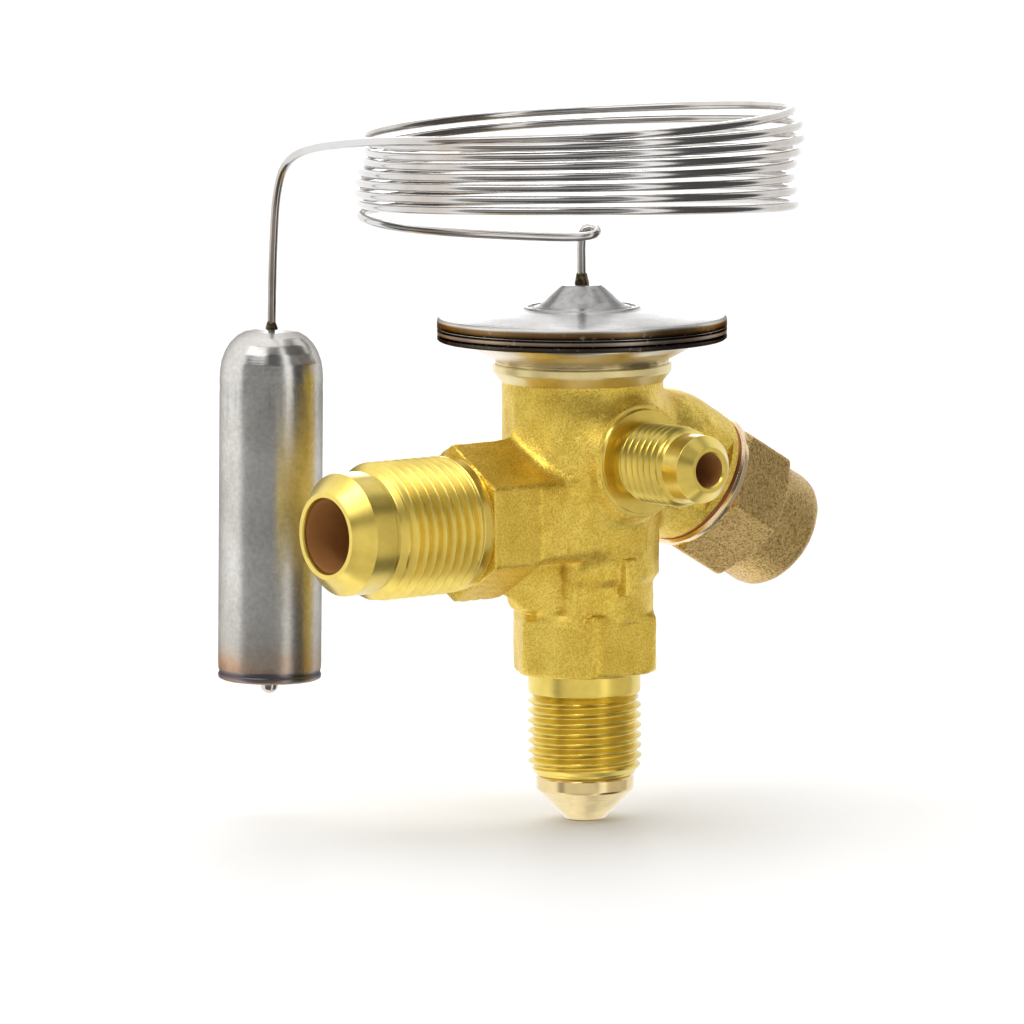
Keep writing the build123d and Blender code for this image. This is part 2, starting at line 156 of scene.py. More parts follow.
def threaded(z0, z1, r, pitch, depth, end0, end1, run0, run1, at=UPRIGHT, seg=96, start=0.0):
    """A right-hand threaded rod between z0 and z1 that fades to end0 and end1 over run0 and run1."""
    per = len(THREAD)
    turns = int(math.ceil((z1 - z0) / pitch)) + 2
    u = np.array([k + t for k in range(turns + 1) for t, _ in THREAD]) - 1.0
    d = np.array([x for _ in range(turns + 1) for _, x in THREAD]) * depth
    th = np.arange(seg) / seg
    z = z0 + pitch * (u[:, None] + th[None, :] + start * 0)
    rr = np.broadcast_to((r - d)[:, None], z.shape).copy()
    env = np.minimum(end0 + (z - z0) * (r - end0) / run0, end1 + (z1 - z) * (r - end1) / run1)
    rr = np.minimum(rr, np.maximum(env, min(end0, end1)))
    low, high = z <= z0, z >= z1
    rr[low], rr[high] = end0, end1
    z = np.clip(z, z0, z1)
    a = th * 2 * math.pi + start * 2 * math.pi
    v = np.stack([rr * np.cos(a), rr * np.sin(a), z], axis=2)
    rows, faces = len(u), []
    for i in range(rows - 1):
        for j in range(seg):
            if j < seg - 1:
                faces.append((i * seg + j, i * seg + j + 1, (i + 1) * seg + j + 1, (i + 1) * seg + j))
            elif i + 1 + per < rows:
                faces.append((i * seg + j, (i + per) * seg, (i + 1 + per) * seg, (i + 1) * seg + j))
    v = v.reshape(-1, 3)
    base = len(v)
    ends = np.array([[0, 0, z0], [0, 0, z1]])
    v = np.vstack([v, ends])
    top = (rows - 1) * seg
    for j in range(seg):
        k = (j + 1) % seg
        faces.append((base, k, j))
        faces.append((base + 1, top + j, top + k))
    return moved(v, at), faces


def solid(name, verts, faces):
    """A scratch object for booleans."""
    o = object_of(name, verts, faces, None, [], weighted=False)
    return o


def combine(base, others, how):
    for o in others:
        m = base.modifiers.new("b", "BOOLEAN")
        m.operation, m.object = how, o
        m.solver = "MANIFOLD"
    dg = bpy.context.evaluated_depsgraph_get()
    mesh = bpy.data.meshes.new_from_object(base.evaluated_get(dg))
    base.modifiers.clear()
    old = base.data
    base.data = mesh
    bpy.data.meshes.remove(old)
    for o in others:
        d = o.data
        bpy.data.objects.remove(o)
        bpy.data.meshes.remove(d)
    return base


# ------------------------------------------------- forged shapes from distances
def smin(a, b, k):
    h = np.clip(0.5 + 0.5 * (b - a) / k, 0, 1)
    return b * (1 - h) + a * h - k * h * (1 - h)


def smax(a, b, k):
    return -smin(-a, -b, k)


def surface(f, lo, hi, h):
    """A closed quad mesh of f = 0 by surface nets, then drawn onto the true surface."""
    ax = [np.arange(lo[i] - h, hi[i] + 2 * h, h) for i in range(3)]
    g = np.meshgrid(*ax, indexing="ij")
    d = f(*g)
    n = d.shape
    cell = tuple(s - 1 for s in n)
    total, count = np.zeros(cell + (3,)), np.zeros(cell)
    crossings = []
    for a in range(3):
        s0, s1 = [slice(None)] * 3, [slice(None)] * 3
        s0[a], s1[a] = slice(0, -1), slice(1, None)
        d0, d1 = d[tuple(s0)], d[tuple(s1)]
        hit = (d0 < 0) != (d1 < 0)
        i = np.argwhere(hit)
        t = d0[hit] / (d0[hit] - d1[hit])
        p = i.astype(float)
        p[:, a] += t
        crossings.append((a, i, d0[hit] < 0))
        b, c = [x for x in range(3) if x != a]
        for db in (0, 1):
            for dc in (0, 1):
                q = i.copy()
                q[:, b] -= db
                q[:, c] -= dc
                ok = ((q >= 0) & (q < np.array(cell))).all(1)
                np.add.at(total, tuple(q[ok].T), p[ok])
                np.add.at(count, tuple(q[ok].T), 1)
    used = count > 0
    index = -np.ones(cell, int)
    index[used] = np.arange(used.sum())
    v = total[used] / count[used][:, None] * h + np.array([x[0] for x in ax])
    faces = []
    for a, i, inside in crossings:
        b, c = (a + 1) % 3, (a + 2) % 3
        quad = []
        for db, dc in ((0, 0), (1, 0), (1, 1), (0, 1)):
            q = i.copy()
            q[:, b] -= db
            q[:, c] -= dc
            quad.append(index[tuple(np.clip(q, 0, None).T)])
        quad = np.stack(quad, 1)
        quad[inside] = quad[inside][:, ::-1]
        faces.append(quad[(quad >= 0).all(1)])
    faces = np.vstack(faces)[:, ::-1]
    start, e = v.copy(), 0.02
    for _ in range(3):
        d = f(*v.T)
        grad = np.stack([f(*(v + e * np.eye(3)[k]).T) - f(*(v - e * np.eye(3)[k]).T) for k in range(3)], 1) / (2 * e)
        step = -d[:, None] * grad / np.maximum((grad ** 2).sum(1), 0.25)[:, None]
        v = v + step
        off = v - start
        far = np.linalg.norm(off, axis=1)
        v = start + off * np.minimum(1, 0.7 * h / np.maximum(far, 1e-9))[:, None]
    return v, faces


def uneven(x, y, z):
    """The slight waviness of a hot-forged skin."""
    return (0.035 * np.sin(1.13 * x + 0.7 * y + 1.9 * np.sin(0.41 * z)) * np.sin(0.93 * z - 0.5 * x)
            + 0.025 * np.sin(2.3 * y - 1.7 * z + 0.9 * x) * np.sin(1.9 * x + 1.1 * z))


def forging(x, y, z):
    r = np.hypot(x, y)
    column = smax(r - np.interp(z, [22, 27.1, 28.3, 34, 41, 47, 56], [9.7, 9.7, 10.5, 10.55, 11.15, 11.2, 11.2]),
                  np.maximum(22.0 - z, z - 56.6), 0.3)
    # outlet arm, hexagonal with corners up and down
    ay, az = np.abs(y), np.abs(z - OUT_Z)
    hexa = smax(ay - 9.5, ay * 0.5 + az * 0.8660 - 9.5, 0.5)
    arm = smax(hexa, np.maximum(-23.0 - x, x), 0.25)
    wide = np.interp(x, [-15.0, -7.0], [9.65, 10.55])
    belly = smax(smax(ay - wide, ay * 0.5 + az * 0.8660 - 9.55, 1.2), np.maximum(-15.0 - x, x - 2.0), 0.15)
    # equalizer boss
    s = -y
    t = np.clip((s - 8) / 4.5, 0, 1)
    boss = smax(np.hypot(x + 0.9 * (1 - t), z - EQ_Z - 0.7 * (1 - t)) - np.interp(s, [3, 7, 9.3, 11.4, 12.9], [11.0, 10.3, 9.0, 8.05, 7.9]),
                np.maximum(s - 12.9, -s), 0.4)
    # adjusting neck
    L = x * ND[0] + (z - NECK_Z) * ND[2]
    rr = np.sqrt(np.maximum((x - L * ND[0]) ** 2 + y ** 2 + (z - NECK_Z - L * ND[2]) ** 2, 0))
    neck = smax(rr - np.interp(L, [2, 9.5, 12.5, 15.5, 21.7], [7.6, 8.0, 9.3, 9.95, 9.85]), np.maximum(2.0 - L, L - 21.7), 0.25)
    flat = np.interp(L, [12.0, 15.0], [12.0, 8.35])
    neck = smax(neck, ay - flat, 0.7)
    # rib under the arm and the shallow pocket beside it
    web = smax(smax(-12.25 - x, -0.644 * (x + 12.2) - 0.765 * (y + 1.8), 0.9), -0.60 * (x + 12.2) + 0.80 * (y - 2.0), 0.9)
    web = smax(web, np.maximum(-5.0 - y, y - 6.5), 0.9)
    web = smax(web, 23.4 - z + 0.10 * (x + 12.0), 2.2)
    web = smax(web, z - 33.0, 0.5)
    web = np.maximum(web, x - 2.0)
    foot = smin(web, column, 1.0)
    ridge = np.hypot(x + 7.55, y + 6.15) - 1.25
    ridge = smax(ridge, np.maximum(23.2 - z, z - 30.0), 0.9)
    foot = smin(foot, ridge, 1.5)
    body = smin(foot, smin(arm, belly, 0.12), 1.9)
    body = smin(body, boss, 2.6)
    body = smin(body, neck, 2.6)
    pocket = smax(-14.4 - x, x + 8.3, 0.8)
    pocket = smax(pocket, 0.644 * (x + 12.2) + 0.765 * (y + 1.8), 0.4)
    pocket = smax(pocket, 23.9 - z, 0.8)
    pocket = smax(pocket, z - 31.1 + 0.06 * (y + 9.5), 0.5)
    body = smax(body, -pocket, 1.1)
    # inlet hexagon, corners on X
    ax = np.abs(x)
    low = smax(ay - 9.5, ax * 0.8660 + ay * 0.5 - 9.5, 0.22)
    low = smax(low, r - 10.75, 0.5)
    low = smax(low, (-0.5 * x + 0.866 * y) - 10.1, 0.6)
    arch = 0.7 * np.exp(-((x + 4.9) ** 2 + (y + 9.3) ** 2) / 2.6)
    low = smax(low, np.maximum(14.5 - z + 0.45 * np.maximum(r - 9.9, 0), z - 22.9 - arch + 0.35 * np.maximum(r - 9.4, 0)), 0.5)
    body = smin(body, low, 0.45)
    # small raised pad on the column
    pad = smax(np.abs(x + 0.38) - 1.25, np.abs(z - 28.5) - 2.6, 0.4)
    pad = smax(pad, np.maximum(-11.4 - y, y + 8.0), 0.35)
    body = smin(body, pad, 0.35)
    return body + uneven(x, y, z)


# ------------------------------------------------------------------- materials
def material(name):
    m = bpy.data.materials.new(name)
    m.use_nodes = True
    nt = m.node_tree
    return m, nt, nt.nodes["Principled BSDF"]


def add(nt, kind, **values):
    n = nt.nodes.new(kind)
    for k, v in values.items():
        if k.startswith("in_"):
            key = k[3:]
            key = int(key) if key.isdigit() else key.replace("_", " ")
            n.inputs[key].default_value = v
        else:
            setattr(n, k, v)
    return n


def place(nt, scale=(1, 1, 1)):
    """Object position in metres, stretched."""
    tc = add(nt, "ShaderNodeTexCoord")
    mp = add(nt, "ShaderNodeMapping")
    mp.inputs["Scale"].default_value = scale
    nt.links.new(tc.outputs["Object"], mp.inputs["Vector"])
    return mp.outputs["Vector"]


def noise(nt, vec, scale, detail=3.0, rough=0.55, distortion=0.0):
    n = add(nt, "ShaderNodeTexNoise")
    n.inputs["Scale"].default_value = scale
    n.inputs["Detail"].default_value = detail
    n.inputs["Roughness"].default_value = rough
    n.inputs["Distortion"].default_value = distortion
    nt.links.new(vec, n.inputs["Vector"])
    return n.outputs["Fac"]


def ramp(nt, fac, stops, interpolation="LINEAR"):
    n = add(nt, "ShaderNodeValToRGB")
    n.color_ramp.interpolation = interpolation
    e = n.color_ramp.elements
    while len(e) > 1:
        e.remove(e[-1])
    for i, (p, c) in enumerate(stops):
        c = (c, c, c) if isinstance(c, (int, float)) else c
        if i == 0:
            e[0].position = p
            e[0].color = (*c, 1)
        else:
            x = e.new(p)
            x.color = (*c, 1)
    nt.links.new(fac, n.inputs["Fac"])
    return n.outputs["Color"]


def mix(nt, fac, a, b, blend="MIX"):
    n = add(nt, "ShaderNodeMix", data_type="RGBA", blend_type=blend)
    for sock, v in ((n.inputs[0], fac), (n.inputs[6], a), (n.inputs[7], b)):
        if hasattr(v, "links"):
            nt.links.new(v, sock)
        else:
            sock.default_value = v if isinstance(v, float) else (*v, 1)
    return n.outputs[2]


def maths(nt, op, a, b=0.0, c=None):
    n = add(nt, "ShaderNodeMath", operation=op)
    for i, v in enumerate((a, b) if c is None else (a, b, c)):
        if hasattr(v, "links"):
            nt.links.new(v, n.inputs[i])
        else:
            n.inputs[i].default_value = v
    return n.outputs[0]


def bumped(nt, bsdf, height, strength, distance, after=None):
    n = add(nt, "ShaderNodeBump")
    n.inputs["Strength"].default_value = strength
    n.inputs["Distance"].default_value = distance
    nt.links.new(height, n.inputs["Height"])
    if after is not None:
        nt.links.new(after, n.inputs["Normal"])
    nt.links.new(n.outputs["Normal"], bsdf.inputs["Normal"])
    return n.outputs["Normal"]


def along(nt, direction, origin=(0, 0, 0)):
    """Distance along a direction, in metres."""
    tc = add(nt, "ShaderNodeTexCoord")
    sub = add(nt, "ShaderNodeVectorMath", operation="SUBTRACT")
    nt.links.new(tc.outputs["Object"], sub.inputs[0])
    sub.inputs[1].default_value = origin
    dot = add(nt, "ShaderNodeVectorMath", operation="DOT_PRODUCT")
    nt.links.new(sub.outputs[0], dot.inputs[0])
    dot.inputs[1].default_value = direction
    return dot.outputs["Value"]


def grainy(name, light, mid, dark, rough, grain, depth, pits=0.0, metallic=0.6, contrast=1.0):
    """Forged and pickled copper alloy: grain, blotches, small dark pits and lighter specks painted as glints."""
    m, nt, b = material(name)
    pos = place(nt)
    blotch = noise(nt, pos, 160, 3, 0.6)
    fine = noise(nt, pos, grain, 1.2, 0.6)
    coarse = noise(nt, pos, grain * 0.5, 1.0, 0.5)
    speck = maths(nt, "ADD", maths(nt, "MULTIPLY", fine, 0.75), maths(nt, "MULTIPLY", coarse, 0.25))
    colour = ramp(nt, blotch, [(0.36, mid), (0.66, light)])
    low = ramp(nt, speck, [(0.34, 1.0), (0.50, 0.0)])
    colour = mix(nt, maths(nt, "MULTIPLY", low, 0.75 * contrast), colour, dark)
    # painted glints: the grain's high specks are lifted past the alloy's lightest tone, a painted highlight
    high = ramp(nt, speck, [(0.50, 0.0), (0.66, 1.0)])
    colour = mix(nt, maths(nt, "MULTIPLY", high, 0.60 * contrast), colour, tuple(min(1.0, c * 1.15 + 0.10) for c in light))
    if pits:
        v = add(nt, "ShaderNodeTexVoronoi", feature="F1")
        v.inputs["Scale"].default_value = 560
        nt.links.new(pos, v.inputs["Vector"])
        where = ramp(nt, noise(nt, pos, 120, 2, 0.5), [(0.63, 0.0), (0.70, 1.0)])
        spot = ramp(nt, v.outputs["Distance"], [(0.08, 1.0), (0.17, 0.0)])
        spot = maths(nt, "MULTIPLY", maths(nt, "MULTIPLY", spot, where), pits)
        colour = mix(nt, spot, colour, tuple(c * 0.30 for c in dark))
    nt.links.new(colour, b.inputs["Base Color"])
    b.inputs["Metallic"].default_value = metallic
    nt.links.new(maths(nt, "ADD", maths(nt, "MULTIPLY", fine, 0.20), rough - 0.10), b.inputs["Roughness"])
    bumped(nt, b, maths(nt, "ADD", fine, maths(nt, "MULTIPLY", coarse, 0.35)), 1.0, depth)
    return m


def lathe_finish(name, colour, rough, direction, origin=(0, 0, 0), lines=1.0, tint=None, metallic=1.0, aniso=0.0):
    """Turned metal: fine feed lines square to the axis, with faint colour drift."""
    m, nt, b = material(name)
    u = along(nt, direction, origin)
    line = add(nt, "ShaderNodeTexNoise", noise_dimensions="1D")
    line.inputs["Scale"].default_value = 9000
    line.inputs["Detail"].default_value = 2.0
    nt.links.new(u, line.inputs["W"])
    pos = place(nt)
    cloud = noise(nt, pos, 210, 3, 0.6)
    a = colour
    c = tint or tuple(x * 0.80 for x in colour)
    col = mix(nt, ramp(nt, cloud, [(0.35, 0.0), (0.68, 1.0)]), a, c)
    nt.links.new(col, b.inputs["Base Color"])
    b.inputs["Metallic"].default_value = metallic
    b.inputs["Coat Weight"].default_value = 0.35
    b.inputs["Coat Roughness"].default_value = 0.22
    nt.links.new(maths(nt, "ADD", maths(nt, "MULTIPLY", line.outputs["Fac"], 0.10), rough - 0.05), b.inputs["Roughness"])
    bumped(nt, b, maths(nt, "ADD", maths(nt, "MULTIPLY", line.outputs["Fac"], lines), maths(nt, "MULTIPLY", noise(nt, pos, 1500, 2, 0.5), 0.15)), 1.0, 6e-6)
    return m


def plain(name, colour, rough, metallic=1.0, grain=900, depth=4e-6, drift=0.15):
    m, nt, b = material(name)
    pos = place(nt)
    n = noise(nt, pos, grain, 3, 0.6)
    col = mix(nt, ramp(nt, noise(nt, pos, 240, 2, 0.5), [(0.35, 0.0), (0.65, 1.0)]), colour, tuple(x * (1 - drift) for x in colour))
    nt.links.new(col, b.inputs["Base Color"])
    b.inputs["Metallic"].default_value = metallic
    nt.links.new(maths(nt, "ADD", maths(nt, "MULTIPLY", n, 0.12), rough - 0.06), b.inputs["Roughness"])
    bumped(nt, b, n, 1.0, depth)
    return m


BRASS = (0.80, 0.615, 0.13)
forged = grainy("forged_brass", (0.84, 0.63, 0.12), (0.66, 0.455, 0.06), (0.46, 0.29, 0.03), 0.42, 4000, 7.0e-5, 0.4, 0.95, 0.70)
machined_z = lathe_finish("machined_brass_z", BRASS, 0.30, (0, 0, 1))
machined_x = lathe_finish("machined_brass_x", BRASS, 0.31, (1, 0, 0))
machined_y = lathe_finish("machined_brass_y", BRASS, 0.31, (0, 1, 0))
machined_n = lathe_finish("machined_brass_neck", BRASS, 0.30, tuple(ND))
lip_brass = lathe_finish("lip_brass", (0.80, 0.68, 0.34), 0.36, (0, 0, 1), metallic=0.95)
# painted shade: dull dark brown for the insides of the bores and the cap, where shade falls
bore = plain("brass_bore_painted_shade", (0.46, 0.22, 0.07), 0.55, 0.25)
cap_grain = grainy("cap_bronze", (0.60, 0.42, 0.16), (0.50, 0.34, 0.12), (0.17, 0.105, 0.035), 0.42, 3300, 8.0e-5, 0.5, 0.95, 0.85)
cap_turned = lathe_finish("cap_turned", (0.88, 0.68, 0.42), 0.16, tuple(ND), lines=1.6)
copper = plain("copper_gasket", (0.55, 0.21, 0.10), 0.35)
head_turned = lathe_finish("orifice_brass", (0.76, 0.60, 0.30), 0.20, (0, 0, 1), lines=2.0)
joint_mat = plain("joint_brass", (0.78, 0.66, 0.38), 0.30, 1.0, 700, 3e-5)
zinc = plain("zinc_steel", (0.60, 0.62, 0.61), 0.33, 1.0, 500, 2e-5, 0.25)
steel = plain("turned_steel", (0.56, 0.56, 0.57), 0.28)
wire_steel = plain("spring_wire", (0.34, 0.34, 0.36), 0.30)
rubber = plain("seal_rubber", (0.02, 0.02, 0.02), 0.6, 0.0)
screen = plain("screen_wire", (0.50, 0.50, 0.50), 0.5, 1.0, 3000, 6e-5)
foil = plain("stainless_foil", (0.62, 0.62, 0.62), 0.22)


def radial_z(nt):
    t = add(nt, "ShaderNodeTangent", direction_type="RADIAL", axis="Z")
    return t.outputs["Tangent"]


def disc_steel(name):
    """Spun stainless sheet: ring marks, a fan-shaped sheen and a heat-tinted rim, with painted shade in the rim's
    groove and seam and a painted highlight on its top edge.
    """
    m, nt, b = material(name)
    tc = add(nt, "ShaderNodeTexCoord")
    sep = add(nt, "ShaderNodeSeparateXYZ")
    nt.links.new(tc.outputs["Object"], sep.inputs[0])
    rad = maths(nt, "SQRT", maths(nt, "ADD", maths(nt, "MULTIPLY", sep.outputs[0], sep.outputs[0]), maths(nt, "MULTIPLY", sep.outputs[1], sep.outputs[1])))
    rings = add(nt, "ShaderNodeTexNoise", noise_dimensions="1D")
    rings.inputs["Scale"].default_value = 5200
    rings.inputs["Detail"].default_value = 2
    nt.links.new(rad, rings.inputs["W"])
    pos = place(nt)
    cloud = noise(nt, pos, 260, 4, 0.65)
    fine = noise(nt, pos, 1700, 2, 0.6)
    base = ramp(nt, cloud, [(0.33, (0.36, 0.355, 0.35)), (0.67, (0.50, 0.495, 0.49))])
    base = mix(nt, maths(nt, "MULTIPLY", ramp(nt, fine, [(0.36, 1.0), (0.5, 0.0)]), 0.35), base, (0.24, 0.23, 0.23))
    # heat tint: brown to straw on the rim's side; the near-black bands in its groove and at the seam between the two
    # housings are painted shade, and the near-white band along the upper rim's top edge is a painted highlight
    z = sep.outputs[2]
    edge = maths(nt, "MULTIPLY", maths(nt, "GREATER_THAN", rad, 0.0194), maths(nt, "LESS_THAN", z, 0.06398))
    band = maths(nt, "DIVIDE", maths(nt, "SUBTRACT", z, 0.0606), 0.0036)
    tint = ramp(nt, band, [(0.0, (0.045, 0.04, 0.036)), (0.20, (0.10, 0.085, 0.07)), (0.235, (0.01, 0.009, 0.009)), (0.29, (0.01, 0.009, 0.009)),
                           (0.325, (0.30, 0.24, 0.20)), (0.42, (0.50, 0.42, 0.36)), (0.45, (0.05, 0.035, 0.02)), (0.475, (0.012, 0.009, 0.007)), (0.58, (0.012, 0.009, 0.007)),
                           (0.61, (0.06, 0.035, 0.015)), (0.70, (0.24, 0.15, 0.06)), (0.79, (0.30, 0.20, 0.10)), (0.82, (0.42, 0.38, 0.32)), (0.86, (0.82, 0.81, 0.79))])
    patch = ramp(nt, noise(nt, pos, 130, 4, 0.7), [(0.38, 0.0), (0.64, 1.0)])
    tint = mix(nt, maths(nt, "MULTIPLY", patch, 0.55), tint, (0.50, 0.34, 0.17), "OVERLAY")
    tint = mix(nt, maths(nt, "MULTIPLY", ramp(nt, noise(nt, pos, 900, 3, 0.7), [(0.60, 0.0), (0.72, 1.0)]), 0.6), tint, (0.60, 0.52, 0.42))
    nt.links.new(mix(nt, edge, base, tint), b.inputs["Base Color"])
    b.inputs["Metallic"].default_value = 1.0
    b.inputs["Anisotropic"].default_value = 0.8
    b.inputs["Anisotropic Rotation"].default_value = 0.25
    nt.links.new(mix(nt, edge, (0.70, 0.70, 0.70), (0.22, 0.19, 0.16)), b.inputs["Specular Tint"])
    nt.links.new(radial_z(nt), b.inputs["Tangent"])
    nt.links.new(maths(nt, "ADD", maths(nt, "ADD", maths(nt, "MULTIPLY", rings.outputs["Fac"], 0.12), 0.24), maths(nt, "MULTIPLY", edge, 0.16)), b.inputs["Roughness"])
    h = maths(nt, "ADD", maths(nt, "MULTIPLY", rings.outputs["Fac"], 0.5), maths(nt, "MULTIPLY", fine, 0.8))
    bumped(nt, b, h, 1.0, 1.0e-5)
    return m


def bowl_steel(name):
    m, nt, b = material(name)
    pos = place(nt)
    col = mix(nt, ramp(nt, noise(nt, pos, 200, 3, 0.6), [(0.35, 0.0), (0.7, 1.0)]), (0.84, 0.78, 0.68), (0.72, 0.66, 0.56))
    nt.links.new(col, b.inputs["Base Color"])
    b.inputs["Metallic"].default_value = 1.0
    b.inputs["Roughness"].default_value = 0.34
    bumped(nt, b, noise(nt, pos, 900, 3, 0.6), 1.0, 4e-6)
    return m


def capillary_steel(name):
    """Drawn tube, bright, with straw tints near the brazed ends and thin marks."""
    m, nt, b = material(name)
    pos = place(nt)
    n = noise(nt, pos, 420, 3, 0.6)
    col = mix(nt, ramp(nt, noise(nt, pos, 60, 3, 0.6), [(0.42, 0.0), (0.7, 1.0)]), (0.62, 0.61, 0.60), (0.47, 0.42, 0.37))
    tc = add(nt, "ShaderNodeTexCoord")
    sep = add(nt, "ShaderNodeSeparateXYZ")
    nt.links.new(tc.outputs["Object"], sep.inputs[0])
    low = ramp(nt, maths(nt, "DIVIDE", maths(nt, "SUBTRACT", sep.outputs[2], 0.0620), 0.0140), [(0.0, 1.0), (0.55, 0.7), (1.0, 0.0)])
    col = mix(nt, maths(nt, "MULTIPLY", low, maths(nt, "ADD", maths(nt, "MULTIPLY", n, 0.9), 0.15)), col, (0.20, 0.155, 0.12))
    nt.links.new(col, b.inputs["Base Color"])
    b.inputs["Metallic"].default_value = 1.0
    nt.links.new(maths(nt, "ADD", maths(nt, "MULTIPLY", n, 0.10), 0.10), b.inputs["Roughness"])
    bumped(nt, b, noise(nt, pos, 2500, 2, 0.5), 1.0, 2e-6)
    return m


def bulb_steel(name):
    """Satin drawn steel with tool rings by the shoulder and a heat-tinted foot."""
    m, nt, b = material(name)
    top = Vector(BULB[:3, 3]) * MM
    axis = Vector(BULB[:3, 2])
    down = maths(nt, "MULTIPLY", along(nt, tuple(-axis), tuple(top)), 1000.0)  # millimetres below the crown
    pos = place(nt)
    fine = noise(nt, pos, 1500, 2.5, 0.7)
    streak = noise(nt, place(nt, (1.0, 1.0, 0.05)), 900, 3, 0.6)
    cloud = noise(nt, pos, 120, 4, 0.6)
    col = ramp(nt, maths(nt, "ADD", maths(nt, "MULTIPLY", fine, 0.45), maths(nt, "MULTIPLY", cloud, 0.55)), [(0.36, (0.46, 0.445, 0.41)), (0.64, (0.68, 0.665, 0.63))])
    t = maths(nt, "DIVIDE", down, 50.0)
    wave = maths(nt, "MULTIPLY", maths(nt, "SUBTRACT", noise(nt, pos, 230, 4, 0.7), 0.5), 0.10)
    t2 = maths(nt, "ADD", t, wave)
    foot = ramp(nt, t2, [(0.0, (0.5, 0.5, 0.5)), (0.80, (0.50, 0.48, 0.45)), (0.885, (0.40, 0.31, 0.22)), (0.925, (0.47, 0.25, 0.10)), (0.955, (0.30, 0.16, 0.10))])
    foot_w = ramp(nt, t2, [(0.0, 0.0), (0.80, 0.0), (0.91, 0.75), (1.0, 0.95)])
    patch = ramp(nt, cloud, [(0.30, 0.35), (0.62, 1.0)])
    col = mix(nt, maths(nt, "MULTIPLY", foot_w, patch), col, foot)
    seam = ramp(nt, t, [(0.948, 0.0), (0.956, 1.0), (0.966, 1.0), (0.972, 0.0)])
    col = mix(nt, maths(nt, "MULTIPLY", seam, 0.85), col, (0.09, 0.10, 0.13))
    soot = ramp(nt, t, [(0.13, 0.0), (0.17, 1.0), (0.235, 0.55), (0.30, 0.0)])
    col = mix(nt, maths(nt, "MULTIPLY", maths(nt, "MULTIPLY", soot, ramp(nt, streak, [(0.46, 0.0), (0.66, 1.0)])), 0.35), col, (0.16, 0.155, 0.15))
    crown = ramp(nt, t, [(0.0, 1.0), (0.09, 0.55), (0.15, 0.0)])
    col = mix(nt, maths(nt, "MULTIPLY", crown, 0.6), col, (0.60, 0.58, 0.56))
    nt.links.new(col, b.inputs["Base Color"])
    b.inputs["Metallic"].default_value = 1.0
    rings = add(nt, "ShaderNodeTexNoise", noise_dimensions="1D")
    rings.inputs["Scale"].default_value = 2.6
    rings.inputs["Detail"].default_value = 3
    nt.links.new(down, rings.inputs["W"])
    zone = ramp(nt, t, [(0.0, 0.25), (0.12, 0.5), (0.17, 1.0), (0.25, 0.7), (0.31, 0.12), (1.0, 0.12)])
    rough = ramp(nt, t, [(0.0, 0.19), (0.12, 0.20), (0.20, 0.30), (1.0, 0.32)])
    nt.links.new(maths(nt, "ADD", rough, maths(nt, "MULTIPLY", fine, 0.08)), b.inputs["Roughness"])
    b.inputs["Specular Tint"].default_value = (0.42, 0.41, 0.40, 1.0)
    b.inputs["Anisotropic"].default_value = 0.55
    b.inputs["Anisotropic Rotation"].default_value = 0.25
    around = add(nt, "ShaderNodeVectorMath", operation="CROSS_PRODUCT")
    around.inputs[0].default_value = tuple(axis)
    geo = add(nt, "ShaderNodeNewGeometry")
    nt.links.new(geo.outputs["Normal"], around.inputs[1])
    nt.links.new(around.outputs[0], b.inputs["Tangent"])
    h = maths(nt, "ADD", maths(nt, "MULTIPLY", rings.outputs["Fac"], zone), maths(nt, "MULTIPLY", fine, 0.35))
    bumped(nt, b, h, 1.0, 2.2e-5)
    return m


def braze(name, colour, dark):
    m, nt, b = material(name)
    pos = place(nt)
    n = noise(nt, pos, 1100, 4, 0.65)
    nt.links.new(ramp(nt, n, [(0.38, dark), (0.56, colour), (0.72, tuple(min(1, c * 1.5) for c in colour))]), b.inputs["Base Color"])
    b.inputs["Metallic"].default_value = 0.9
    nt.links.new(maths(nt, "ADD", maths(nt, "MULTIPLY", n, 0.3), 0.18), b.inputs["Roughness"])
    bumped(nt, b, n, 1.0, 9e-5)
    return m


disc = disc_steel("stainless_disc")
bowl = bowl_steel("stainless_bowl")
tube_mat = capillary_steel("capillary_steel")
bulb_mat = bulb_steel("bulb_steel")
braze_mat = braze("silver_braze", (0.17, 0.12, 0.06), (0.025, 0.018, 0.012))
tip_mat = plain("fill_tip_steel", (0.66, 0.60, 0.55), 0.22, 1.0, 1200, 1e-5)

# ---------------------------------------------------------------------- camera
RIGHT = (0.78439442, -0.62022023, -0.00722963)
UP = (0.07904923, 0.0883995, 0.99294348)
BACK = (-0.61520453, -0.77943082, 0.11836801)
EYE = (-0.762817, -0.950477, 0.181992)
cam_data = bpy.data.cameras.new("camera")
cam_data.sensor_width = 36.0
cam_data.lens = 310.26
cam_data.clip_start, cam_data.clip_end = 0.05, 30.0
cam = bpy.data.objects.new("camera", cam_data)
cam.matrix_world = Matrix([[RIGHT[i], UP[i], BACK[i], EYE[i]] for i in range(3)] + [[0, 0, 0, 1]])
scene.collection.objects.link(cam)
scene.camera = cam

